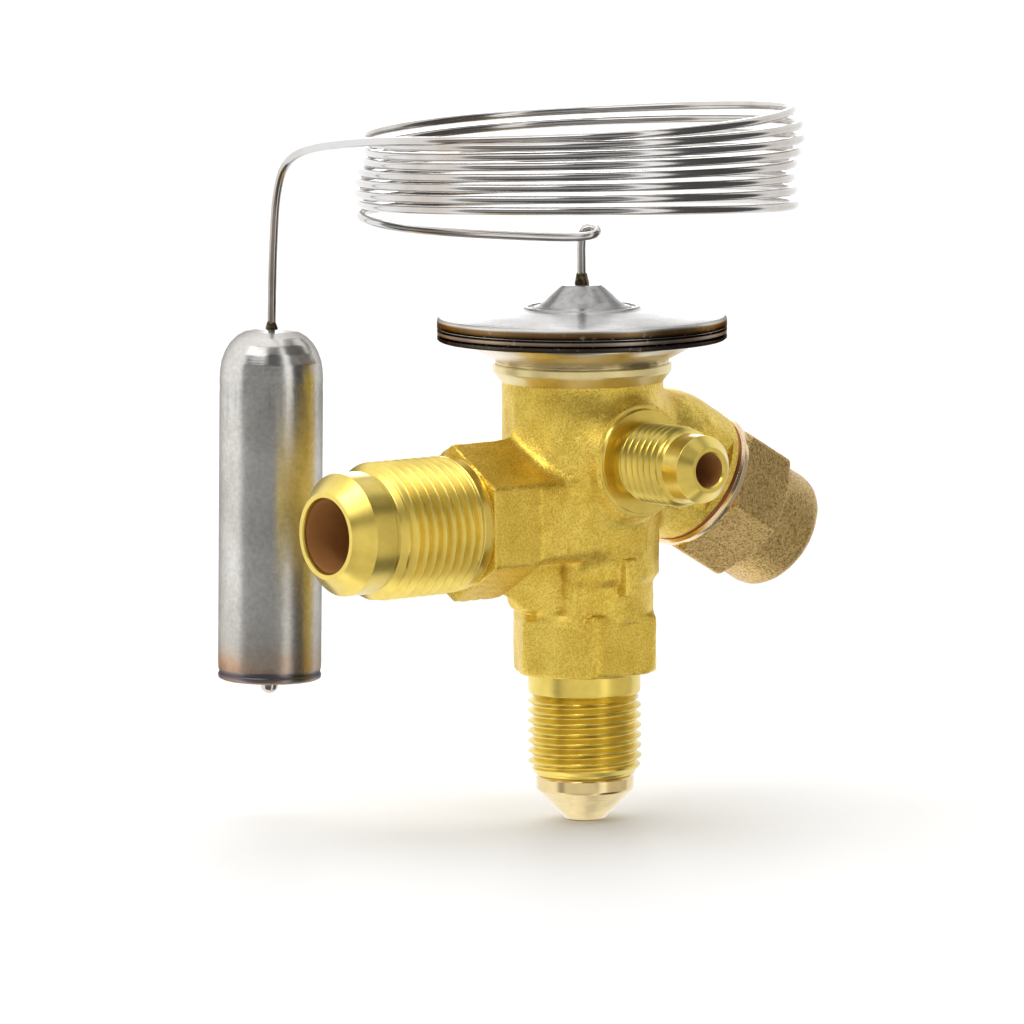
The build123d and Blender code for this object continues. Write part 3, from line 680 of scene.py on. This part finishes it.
# ------------------------------------------------------------------- capillary
CAP_D = 1.2
RISER = [W(0, 0, 65.2), W(0, 0, 70.6), W(-0.05, -0.1, 76.3), W(2.1, 0.1, 76.25), W(2.2, 2.2, 75.6), W(-0.4, 2.7, 75.2),
         W(-4.4, 4.2, 75.4), W(-10.5, 6.4, 75.9), W(-17.5, 8.6, 76.5), W(-24.5, 9.6, 77.2), W(-29.6, 6.6, 78.0), W(-31.0, 1.2, 78.6)]
DROP = [W(-18.0, 24.5, 90.3), W(-25.2, 19.0, 90.0), W(-31.6, 12.9, 89.3), W(-37.6, 7.0, 88.2), W(-41.0, 3.4, 86.0), W(-42.2, 1.6, 81.4),
        W(-42.6, 0.7, 75.6), W(-42.9, 0.2, 69.4), W(-43.05, 0.0, 62.55)]
# turns of the coil as measured at its left, back, right and front: radius and height of the tube's middle
LEFT = [(30.7, 78.44), (30.7, 79.97), (31.15, 81.50), (31.0, 83.05), (30.6, 84.48), (29.95, 85.90), (29.7, 87.25), (30.3, 88.85)]
RIGHT_SIDE = [(29.6, 79.38), (29.35, 81.40), (29.0, 83.21), (29.35, 85.15), (29.9, 86.81), (30.4, 88.61), (30.2, 90.55), (29.1, 92.60)]
FRONT = [(30.1, 81.25), (30.1, 82.80), (30.1, 84.37), (30.1, 85.86), (30.1, 87.33), (30.1, 88.75), (30.1, 90.05), (30.3, 91.25)]
BACKS = [(30.0, 77.7), (30.0, 79.45), (30.0, 81.15), (30.0, 82.9), (30.0, 84.75), (30.1, 86.75), (30.2, 88.75), (30.2, 90.40)]


def spline_value(x, xs, ys):
    """Catmull-Rom through even knots."""
    t = np.clip((x - xs[0]) / (xs[1] - xs[0]), 0, len(xs) - 1 - 1e-9)
    i = int(t)
    f = t - i
    p = [ys[min(max(i + k, 0), len(ys) - 1)] for k in (-1, 0, 1, 2)]
    return 0.5 * (2 * p[1] + (p[2] - p[0]) * f + (2 * p[0] - 5 * p[1] + 4 * p[2] - p[3]) * f * f + (3 * p[1] - p[0] - 3 * p[2] + p[3]) * f ** 3)


knots, radii, heights = [], [], []
for k in range(8):
    for q, (rad, h) in enumerate((LEFT[k], BACKS[k], RIGHT_SIDE[k], FRONT[k])):
        knots.append(180 + 360 * k + 90 * q)
        radii.append(rad)
        heights.append(h)
PER_TURN = 16
step = 360.0 / PER_TURN
swell = 1 / (math.cos(math.radians(step / 2)) ** 0.5 * ((6 + 2 * math.cos(math.radians(step))) / 8) ** 0.5)
coil = []
a = 180.0 + step * 0.9
while a < 180 + 360 * 7 + 270 + 8:
    x = min(a, knots[-1])
    rad, h = spline_value(x, knots, radii) * swell, spline_value(x, knots, heights)
    coil.append(W(rad * math.cos(math.radians(a)), rad * math.sin(math.radians(a)), h))
    a += step
route = RISER + coil + DROP
curve = bpy.data.curves.new("capillary", "CURVE")
curve.dimensions = "3D"
curve.bevel_depth = CAP_D / 2 * MM
curve.bevel_resolution = 3
curve.use_fill_caps = True
spline = curve.splines.new("NURBS")
spline.points.add(len(route) - 1)
for p, q in zip(spline.points, route):
    p.co = (q[0] * MM, q[1] * MM, q[2] * MM, 1.0)
spline.order_u = 3
spline.use_endpoint_u = True
spline.resolution_u = 4
capillary = bpy.data.objects.new("capillary", curve)
scene.collection.objects.link(capillary)
curve.materials.append(tube_mat)
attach(capillary, "valve")
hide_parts("capillary_riser", "capillary_coil", "capillary_drop")

# ------------------------------------------------------------------ valve body
v, f = surface(forging, (-23.6, -13.6, 14.0), (24.4, 12.0, 58.0), 0.34)
body = solid("valve_body_shape", v, f)
SEG = 96
# inlet stub, 5/8-18
stub = solid("p1", *turned([(0, 0.02), (6.9, 0.02, 0.15), (7.1, 0.4, 0.1), (7.1, 10.9, 0.1), (7.8, 11.6, 0.15), (7.86, 12.2, 0.3), (7.86, 14.2, 0.2), (8.3, 14.9), (0, 14.9)], seg=SEG))
thread1 = solid("p2", *threaded(0.25, 11.3, 7.94, 1.411, 0.80, 6.95, 7.1, 1.25, 0.7, seg=SEG, start=0.30))
# outlet spigot, 3/4-16
spigot = solid("p3", *turned([(0, 20), (9.38, 20, 0.0), (9.38, 22.9), (9.2, 23.05), (9.2, 23.2), (9.38, 23.35, 0.05), (9.38, 24.6, 0.2), (8.55, 25.2, 0.1), (8.55, 37.6, 0.1), (8.2, 38.2, 0.15), (8.2, 38.75, 0.15), (8.43, 39.0, 0.1),
                              (8.43, 42.45, 0.12), (5.98, 44.9, 0.12), (0, 44.9)], OUT, SEG))
thread2 = solid("p4", *threaded(23.9, 38.15, 9.525, 1.5875, 0.92, 8.6, 8.2, 1.2, 1.1, OUT, SEG, 0.1))
# equalizer spigot, 7/16-20
collar = solid("p5", *turned([(0, 10.5), (7.6, 10.5), (7.6, 12.6, 0.1), (7.15, 13.15, 0.12), (7.15, 13.5, 0.1), (5.0, 13.5), (5.0, 22.6, 0.1), (4.67, 23.0, 0.12),
                              (4.67, 26.2, 0.12), (3.12, 27.75, 0.1), (0, 27.75)], EQ, SEG))
thread3 = solid("p6", *threaded(13.9, 22.9, 5.555, 1.27, 0.70, 4.8, 4.7, 0.8, 0.8, EQ, 80, 0.55))
# neck end
nstub = solid("p7", *turned([(0, 20.5), (9.75, 20.5), (9.75, 21.7, 0.2), (6.45, 21.7), (6.45, 23.0, 0.1), (6.45, 30.9, 0.1), (6.3, 31.0), (0, 31.0)], NECK, SEG))
thread4 = solid("p8", *threaded(22.9, 30.95, 7.0, 1.0, 0.56, 6.35, 6.3, 0.6, 0.7, NECK, 80, 0.0))
lip = solid("p9", *turned([(0, 54.5), (11.15, 54.5), (11.22, 55.0, 0.4), (12.3, 56.35, 0.15), (12.42, 56.6, 0.1), (12.4, 57.45, 0.1), (12.25, 57.6, 0.05), (0, 57.6)], seg=SEG))
combine(body, [stub, thread1, spigot, thread2, collar, thread3, nstub, thread4, lip], "UNION")
cuts = [
    solid("c1", *turned([(0, -1), (5.3, -1), (5.3, 0.0), (4.75, 0.5), (4.75, 30.4), (6.0, 31.0), (6.0, 41.0), (0, 41.0)], seg=SEG)),
    solid("c2", *turned([(0, 0), (4.1, 0), (4.1, 12.0), (5.05, 13.2), (5.05, 44.4), (5.3, 44.9), (5.3, 46), (0, 46)], OUT, SEG)),
    solid("c3", *turned([(0, 39), (3.0, 39), (3.0, 45.0), (0, 45.0)], seg=48)),
    solid("c4", *turned([(0, 43.4), (8.0, 43.4), (8.0, 56.6), (9.0, 57.6), (9.0, 58.6), (0, 58.6)], seg=SEG)),
    solid("c5", *turned([(0, 6.0), (1.5, 6.0), (1.5, 19.0), (2.35, 19.0), (2.35, 27.5), (2.55, 27.75), (2.55, 29), (0, 29)], EQ, 64)),
    solid("c6", *turned([(0, 4.5), (2.75, 4.5), (2.75, 10.6), (4.05, 10.6), (4.05, 18.4), (4.2, 18.4), (4.2, 24.7), (5.0, 24.7), (5.0, 32), (0, 32)], NECK, 64)),
]
combine(body, cuts, "DIFFERENCE")
shape = body.data
bpy.data.objects.remove(body)
valve_body = dressed("valve_body_forging", shape, "valve", [forged, machined_z, machined_x, machined_y, machined_n, bore, lip_brass], sharp=32)
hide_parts("valve_body")
shape = valve_body.data
centre = np.zeros(len(shape.polygons) * 3)
shape.polygons.foreach_get("center", centre)
centre = centre.reshape(-1, 3) / MM
normal = np.zeros(len(shape.polygons) * 3)
shape.polygons.foreach_get("normal", normal)
normal = normal.reshape(-1, 3)
x, y, z = centre.T
kind = np.zeros(len(centre), int)
L = x * ND[0] + (z - NECK_Z) * ND[2]
kind[z < 14.47] = 1
kind[z > 55.3] = 6
kind[x < -23.02] = 2
kind[y < -12.92] = 3
kind[L > 21.66] = 4


def inward(p, n, at, r0, lo, hi):
    q = (p - at[:3, 3]) @ at[:3, :3]
    m = n @ at[:3, :3]
    rad = np.hypot(q[:, 0], q[:, 1])
    return (rad < r0) & (q[:, 2] > lo) & (q[:, 2] < hi) & ((q[:, 0] * m[:, 0] + q[:, 1] * m[:, 1] < 0.2 * rad) | (rad < 0.9 * r0))


# faces inside the bores take the painted-shade material
for at, r0, lo, hi in ((UPRIGHT, 5.0, -1, 31), (UPRIGHT, 9.2, 30, 60), (OUT, 5.12, -1, 44.3), (EQ, 2.42, 5, 27.4), (NECK, 5.1, 3, 31)):
    kind[inward(centre, normal, at, r0, lo, hi)] = 5
shape.polygons.foreach_set("material_index", kind.astype(np.int32))

# --------------------------------------------------------------- diaphragm head
def lathe(name, points, mats, body_name, node=None, at=UPRIGHT, seg=128, closed=False, sharp=38.0):
    o = object_of(name, *turned(points, at, seg, closed), body_name, mats, sharp=sharp)
    if node:
        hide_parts(node)
    return o


lower = lathe("lower_housing_bowl", [
    (9.6, 57.95), (11.9, 57.95, 0.1), (12.25, 58.2, 0.3), (13.3, 58.75, 0.8), (14.7, 59.5, 1.0), (15.35, 60.2, 0.6), (15.5, 60.75, 0.1), (15.7, 60.8, 0.1), (19.85, 60.8, 0.18),
    (20.12, 61.0, 0.12), (20.14, 61.43, 0.12), (19.75, 61.52, 0.04), (19.75, 61.62, 0.04), (20.1, 61.7, 0.12), (20.14, 62.43, 0.03), (20.08, 62.47), (17.6, 62.4), (16.8, 61.9),
    (13.4, 61.5), (13.4, 60.3), (11.5, 59.3), (9.6, 59.3)], [bowl, disc], "valve", "lower_housing", closed=True)
fc = np.zeros(len(lower.data.polygons) * 3)
lower.data.polygons.foreach_get("center", fc)
fc = fc.reshape(-1, 3) / MM
lower.data.polygons.foreach_set("material_index", (np.hypot(fc[:, 0], fc[:, 1]) > 19.4).astype(np.int32))
upper = lathe("upper_housing_cover", [
    (1.2, 63.6), (1.2, 65.1), (6.95, 65.1), (7.35, 65.2, 0.1), (7.6, 65.42, 0.1), (7.85, 65.42, 0.12), (8.2, 65.2, 0.25), (9.0, 65.05, 0.6), (14.0, 64.62, 4.0), (18.6, 64.17, 1.0), (19.75, 64.02, 0.3),
    (20.1, 63.8, 0.15), (20.14, 63.4, 0.3), (20.14, 62.66, 0.12), (19.9, 62.52, 0.05), (19.55, 62.5), (15.9, 62.6), (14.5, 62.95), (9.0, 63.4)], [disc], "valve", "upper_housing", closed=True)
socket = lathe("capillary_boss", [
    (0.62, 65.1), (6.9, 65.1), (6.75, 65.35, 0.1), (5.9, 65.62, 0.6), (5.1, 66.15, 0.9), (4.1, 67.15, 1.5), (3.1, 68.05, 0.8), (2.65, 68.35, 0.2), (2.3, 68.4, 0.2), (0.62, 68.4)],
    [disc], "valve", "capillary_socket", closed=True)
nodes["diaphragm"].data.materials.clear()
nodes["diaphragm"].data.materials.append(foil)


def lumpy(name, points, at, amount, seed, mats, body_name, seg=48, freq=2.0):
    """A small turned solid with an irregular skin, as of braze or a crimped edge."""
    vv, ff = turned(points, at, seg, True)
    q = (vv - at[:3, 3]) @ at[:3, :3]
    ang = np.arctan2(q[:, 1], q[:, 0])
    rng = np.random.default_rng(seed)
    wob = np.zeros(len(q))
    for k in range(1, 9):
        wob += rng.normal() * np.sin(k * freq * ang + rng.uniform(0, 6.28) + q[:, 2] * rng.uniform(0.5, 3)) / (1 + 0.35 * k)
    rad = np.hypot(q[:, 0], q[:, 1])
    scale = 1 + amount * wob / np.maximum(rad, 0.3)
    q[:, 0] *= scale
    q[:, 1] *= scale
    q[:, 2] += amount * 0.6 * np.roll(wob, 7)
    return object_of(name, moved(q, at), ff, body_name, mats)


ring = lumpy("body_joint_bead", [(9.0, 57.55), (12.05, 57.55, 0.05), (12.15, 57.75, 0.1), (11.95, 58.0, 0.05), (9.0, 58.0)], UPRIGHT, 0.045, 4, [joint_mat], "valve", 160, 5.0)
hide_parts("body_joint_ring")
blob = lumpy("riser_braze", [(0.50, 68.2), (1.05, 68.25, 0.1), (0.98, 68.7, 0.2), (0.80, 69.3, 0.2), (0.66, 69.9, 0.2), (0.50, 70.1)], UPRIGHT, 0.09, 11, [braze_mat], "valve", 32, 1.0)
blob2 = lumpy("bulb_braze", [(0.45, -0.35), (1.0, -0.30, 0.2), (0.85, 0.25, 0.2), (0.68, 0.8, 0.2), (0.45, 1.1)], BULB, 0.08, 5, [braze_mat], "valve", 32, 1.0)

# ------------------------------------------------------------------------ bulb
H = 49.0
dome = [(2.2, 0.0), (3.6, -0.32), (4.8, -1.0), (5.75, -1.95), (6.45, -3.1), (6.95, -4.5), (7.15, -5.9)]
shell = [(0, 0.02)] + [(r, zz, 1.6) for r, zz in dome] + [(7.2, -7.2, 0.5), (7.17, -8.0, 0.2), (7.2, -9.2, 0.3), (7.2, -46.6, 0.3), (7.16, -47.4, 0.1), (7.05, -47.75, 0.05), (7.05, -48.1, 0.05), (0, -48.1)]
bulb = lathe("sensing_bulb_shell", shell, [bulb_mat], "valve", "sensing_bulb", BULB, 128)
foot = lathe("bulb_end_cap", [(0, -48.05), (7.1, -48.05, 0.05), (7.2, -48.25, 0.1), (7.15, -48.75, 0.25), (6.6, -49.0, 0.3), (0, -49.0)], [bulb_mat], "valve", "bulb_end_disc", BULB, 128)
tip = lathe("bulb_fill_stem", [(0, -51.0), (0.62, -50.95, 0.3), (1.12, -50.45, 0.4), (1.28, -49.75, 0.4), (1.2, -49.3, 0.3), (1.55, -48.98), (0, -48.9)], [tip_mat], "valve", "bulb_fill_tip", BULB, 48)

# -------------------------------------------------------------------- seal cap
CAP_FACE, CAP_HEX0, CAP_HEX1, CAP_END = 22.25, 23.35, 32.6, 40.6


def cap_shape(x, y, z):
    a = math.radians(15.0)
    u, w = x * math.cos(a) + y * math.sin(a), -x * math.sin(a) + y * math.cos(a)
    r = np.hypot(x, y)
    au, aw = np.abs(u), np.abs(w)
    h = smax(aw - 9.5, au * 0.8660 + aw * 0.5 - 9.5, 0.35)
    h = smax(h, CAP_HEX0 - 0.2 - z + 0.62 * np.maximum(r - 9.75, 0), 0.25)
    h = smax(h, z - CAP_HEX1 + 0.50 * np.maximum(r - 9.1, 0), 0.35)
    b = smax(r - 8.65, z - CAP_END, 2.1)
    b = np.maximum(b, 30.0 - z)
    return smin(h, b, 0.35) + 0.6 * uneven(x + 3, y * 1.2, z)


v, f = surface(cap_shape, (-11.4, -11.4, 23.0), (11.4, 11.4, 41.0), 0.32)
cap_obj = solid("k0", moved(v, NECK), f)
band = solid("k1", *turned([(0, CAP_FACE), (9.75, CAP_FACE, 0.12), (10.1, CAP_FACE + 0.4, 0.1), (10.1, CAP_HEX0 - 0.02, 0.1), (9.7, CAP_HEX0 + 0.35), (0, CAP_HEX0 + 0.35)], NECK, 128))
combine(cap_obj, [band], "UNION")
hollow = solid("k2", *turned([(0, 21), (7.4, 21), (7.4, 22.25), (7.06, 22.6)] + [p for k in range(9) for p in ((7.06, 23.0 + k), (7.3, 23.3 + k), (7.3, 23.5 + k), (7.06, 23.8 + k))]
                            + [(7.06, 32.2), (5.6, 33.2), (5.6, 37.6), (0, 37.6)], NECK, 96))
combine(cap_obj, [hollow], "DIFFERENCE")
cap_mesh = cap_obj.data
bpy.data.objects.remove(cap_obj)
cap_obj = dressed("seal_cap_nut", cap_mesh, "cap", [cap_grain, cap_turned, bore], sharp=30)
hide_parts("seal_cap")
fc = np.zeros(len(cap_mesh.polygons) * 3)
cap_mesh.polygons.foreach_get("center", fc)
q = (fc.reshape(-1, 3) / MM - NECK[:3, 3]) @ NECK[:3, :3]
rad = np.hypot(q[:, 0], q[:, 1])
kind = np.zeros(len(q), int)
kind[q[:, 2] < CAP_HEX0 + 0.02] = 1
# the cap's inside takes the painted-shade material too
kind[(rad < 7.45) & (q[:, 2] < 37.7)] = 2
cap_mesh.polygons.foreach_set("material_index", kind.astype(np.int32))

# ------------------------------------------------------------ orifice assembly
head = lathe("orifice_head_cone", [
    (2.4, -6.1), (2.55, -6.25, 0.06), (2.8, -6.25, 0.1), (3.9, -5.05, 0.05), (3.98, -5.02, 0.05), (6.7, -2.2, 0.15), (6.85, -1.9, 0.15), (6.85, -0.45, 0.15), (6.5, -0.02, 0.1), (4.62, -0.02), (4.1, -0.02), (4.1, 4.4),
    (3.7, 4.8), (2.4, 4.8)], [head_turned], "orifice", "orifice_head", seg=128, closed=True)


def paint(name, m):
    o = nodes[name]
    o.data.materials.clear()
    o.data.materials.append(m)


for name, m in (("orifice_sleeve", zinc), ("orifice_seat", steel), ("valve_cone", steel), ("cone_spring", wire_steel), ("spring_retainer", steel), ("inlet_strainer", screen),
                ("cap_gasket", copper), ("thrust_pad", steel), ("push_rod", steel), ("rod_bushing", machined_z), ("spring_seat", steel), ("superheat_spring", wire_steel),
                ("adjusting_spindle", steel), ("spindle_o_ring", rubber), ("spindle_gland", machined_n)):
    paint(name, m)

# --------------------------------------------------------------- floor and light
floor_mesh = bpy.data.meshes.new("floor")
bm = bmesh.new()
bmesh.ops.create_circle(bm, cap_ends=True, radius=6.0, segments=96)
bmesh.ops.translate(bm, verts=bm.verts, vec=(0, 0, -0.0064))
bm.to_mesh(floor_mesh)
bm.free()
floor = bpy.data.objects.new("floor", floor_mesh)
scene.collection.objects.link(floor)
fm, fnt, fb = material("floor_white")
fb.inputs["Base Color"].default_value = (0.90, 0.90, 0.895, 1)
fb.inputs["Roughness"].default_value = 0.8
fb.inputs["Specular IOR Level"].default_value = 0.15
floor_mesh.materials.append(fm)
floor.visible_glossy = False
floor.visible_shadow = False

world = bpy.data.worlds.new("studio")
scene.world = world
world.use_nodes = True
wt = world.node_tree
bg = wt.nodes["Background"]
tc = add(wt, "ShaderNodeTexCoord")
sep = add(wt, "ShaderNodeSeparateXYZ")
wt.links.new(tc.outputs["Generated"], sep.inputs[0])
# azimuth measured from the direction in which the photograph's camera stands, to its right
fx, fy = W(0, 1, 0)[:2]
gx, gy = W(1, 0, 0)[:2]
front = maths(wt, "ADD", maths(wt, "MULTIPLY", sep.outputs[0], fx), maths(wt, "MULTIPLY", sep.outputs[1], fy))
side = maths(wt, "ADD", maths(wt, "MULTIPLY", sep.outputs[0], gx), maths(wt, "MULTIPLY", sep.outputs[1], gy))
az = maths(wt, "ARCTAN2", side, front)


deg = maths(wt, "MULTIPLY", az, 180 / math.pi)
height = maths(wt, "MULTIPLY", maths(wt, "ARCSINE", sep.outputs[2]), 180 / math.pi)


def rise(value, at, width):
    n = add(wt, "ShaderNodeMapRange", interpolation_type="SMOOTHSTEP")
    wt.links.new(value, n.inputs["Value"])
    n.inputs["From Min"].default_value = at - width
    n.inputs["From Max"].default_value = at + width
    return n.outputs["Result"]


def between(value, lo, hi, width):
    up, down = rise(value, lo, width), rise(value, hi, width)
    return maths(wt, "MULTIPLY", up, maths(wt, "SUBTRACT", 1.0, down))


def softbox(az0, az1, el0, el1, strength, width=5.0, width_el=7.0):
    return maths(wt, "MULTIPLY", maths(wt, "MULTIPLY", between(deg, az0, az1, width), between(height, el0, el1, width_el)), strength)


PANELS = [(-220, -66, -200, 200, 1.25), (112, 220, -200, 200, 1.10), (31, 50, -200, 60, 1.40), (-66, 31, -28, 18, 0.42), (-80, -12, 36, 58, 2.4), (-400, 400, 64, 200, 1.35),
          (176, 220, -5, 50, 5.6), (-220, -176, -5, 50, 5.6)]
light = None
for p in PANELS:
    one = softbox(*p)
    light = one if light is None else maths(wt, "MAXIMUM", light, one)
light = maths(wt, "MAXIMUM", light, 0.11)
tone = add(wt, "ShaderNodeCombineColor")
for i in range(3):
    wt.links.new(light, tone.inputs[i])
wt.links.new(tone.outputs[0], bg.inputs["Color"])
bg.inputs["Strength"].default_value = 1.0


def area(name, where, target, size, power, size_y=None, colour=(1, 1, 1), glossy=True):
    d = bpy.data.lights.new(name, "AREA")
    d.shape = "RECTANGLE"
    d.size, d.size_y = size, size_y or size
    d.energy = power
    d.color = colour
    o = bpy.data.objects.new(name, d)
    o.location = where
    o.rotation_euler = (Vector(target) - Vector(where)).to_track_quat("-Z", "Y").to_euler()
    o.visible_glossy = glossy
    scene.collection.objects.link(o)
    return o


area("floor_wash", W(0, -0.6, 2.6), W(0, -0.6, 0), 3.0, 22.0, glossy=False)
# the brass alone is also lit from low in front
warm = bpy.data.collections.new("brass_pieces")
for o in (valve_body, ring, cap_obj, head):
    warm.objects.link(o)
body_only = bpy.data.collections.new("brass_body")
for o in (valve_body, head):
    body_only.objects.link(o)
cap_only = bpy.data.collections.new("brass_cap")
cap_only.objects.link(cap_obj)
for name, where, size, size_y, radiance, lit in (("front_fill", (-0.12, 0.62, -0.10), 1.0, 0.7, 0.42, warm), ("low_fill", (-0.1, 0.25, -0.45), 0.6, 0.5, 0.50, warm),
                                                 ("right_fill", (0.60, 0.14, 0.02), 0.75, 0.8, 0.48, body_only), ("top_strip", (-0.22, 0.22, 0.50), 0.40, 0.07, 8.0, warm),
                                                 ("cap_low", (-0.32, -0.05, -0.50), 0.5, 0.5, 0.9, cap_only), ("cap_right", (0.60, 0.14, 0.02), 0.75, 0.8, 0.22, cap_only)):
    lamp = area(name, W(*where), W(0, 0, 0.04), size, radiance * 4 * size * size_y, size_y, (1.0, 0.93, 0.82))
    lamp.light_linking.receiver_collection = lit

scene.view_settings.view_transform = "Standard"
scene.view_settings.look = "None"
scene.view_settings.exposure = 0.0
